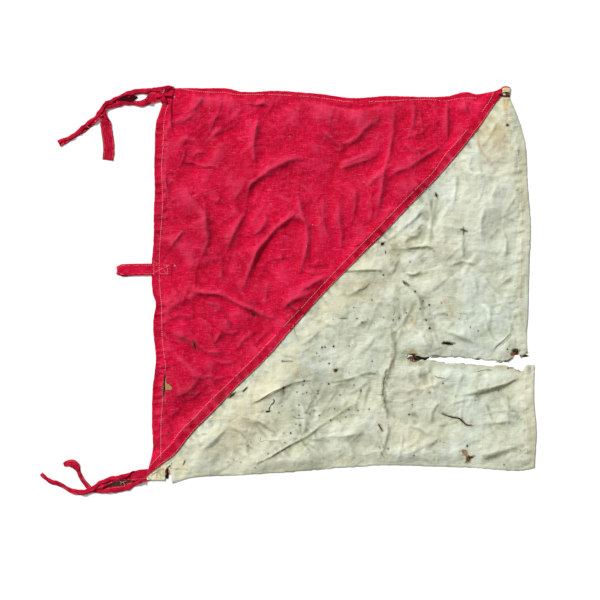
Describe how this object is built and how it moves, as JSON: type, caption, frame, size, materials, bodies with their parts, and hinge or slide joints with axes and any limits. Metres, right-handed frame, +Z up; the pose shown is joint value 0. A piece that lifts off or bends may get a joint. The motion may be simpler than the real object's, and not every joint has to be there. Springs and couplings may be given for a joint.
{
  "type": "tattered two-colour signal flag laid out flat",
  "caption": "Worn square flag of two cloth triangles with a diagonal seam, hoist ties and a hoist loop, creased, holed and torn, lying flat.",
  "frame": {"origin": "on the surface that the flag lies on, in the middle of the box around the flag and its ties", "axes": "+X from the hoist to the fly, +Y up the hoist, +Z up off the surface"},
  "size_m": [0.7444, 0.6132, 0.0151],
  "materials": {
    "red_bunting": "plain-woven red cotton, creased and faded, with worn holes",
    "cream_bunting": "plain-woven undyed cotton, creased, stained and holed",
    "red_tape": "folded red cotton tape, edge-stitched"
  },
  "bodies": {
    "root": {"red_panel": "red_bunting", "cream_panel": "cream_bunting", "hoist_loop": "red_tape", "top_knot": "red_tape", "top_tie_long": "red_tape", "top_tie_short": "red_tape", "bottom_tie_long": "red_tape", "bottom_tie_curled": "red_tape"}
  },
  "joints": []
}
